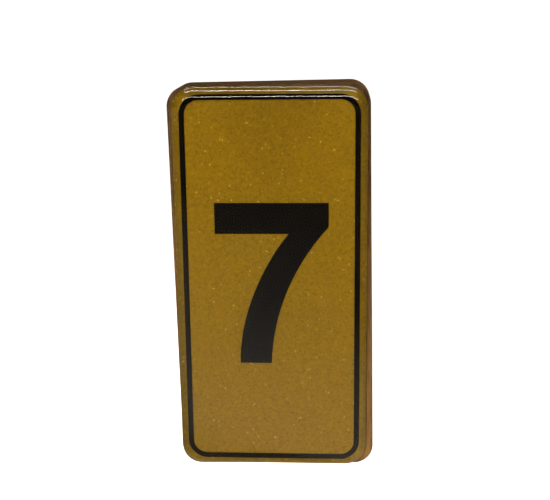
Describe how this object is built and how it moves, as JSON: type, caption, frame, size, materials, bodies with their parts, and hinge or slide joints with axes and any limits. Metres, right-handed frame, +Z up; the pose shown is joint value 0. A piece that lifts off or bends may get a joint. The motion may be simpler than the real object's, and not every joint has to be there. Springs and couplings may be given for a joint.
{
  "type": "table number holder",
  "caption": "Upright varnished wood block that stands on its bottom edge, with a clear domed gold label and a black numeral inside a round-cornered border on its front and rear.",
  "frame": {"origin": "middle of the wood block's bottom face, at the level that it stands on", "axes": "+X to the right across the front, +Y from the front to the rear, +Z up; the front label faces -Y"},
  "size_m": [0.05, 0.0172, 0.099],
  "materials": {
    "varnished_wood": "reddish-brown stain under a semi-gloss varnish, fine grain along the height",
    "adhesive": "soft clear pressure-sensitive adhesive",
    "gold_film": "metallic gold film with a fine flake",
    "black_ink": "dense black print",
    "clear_resin": "clear glossy polyurethane dome"
  },
  "bodies": {
    "root": {"wood_block": "varnished_wood", "front_adhesive_sheet": "adhesive", "front_gold_film": "gold_film", "front_ink_border": "black_ink", "front_ink_numeral": "black_ink", "front_resin_dome": "clear_resin", "rear_adhesive_sheet": "adhesive", "rear_gold_film": "gold_film", "rear_ink_border": "black_ink", "rear_ink_numeral": "black_ink", "rear_resin_dome": "clear_resin"}
  },
  "joints": []
}
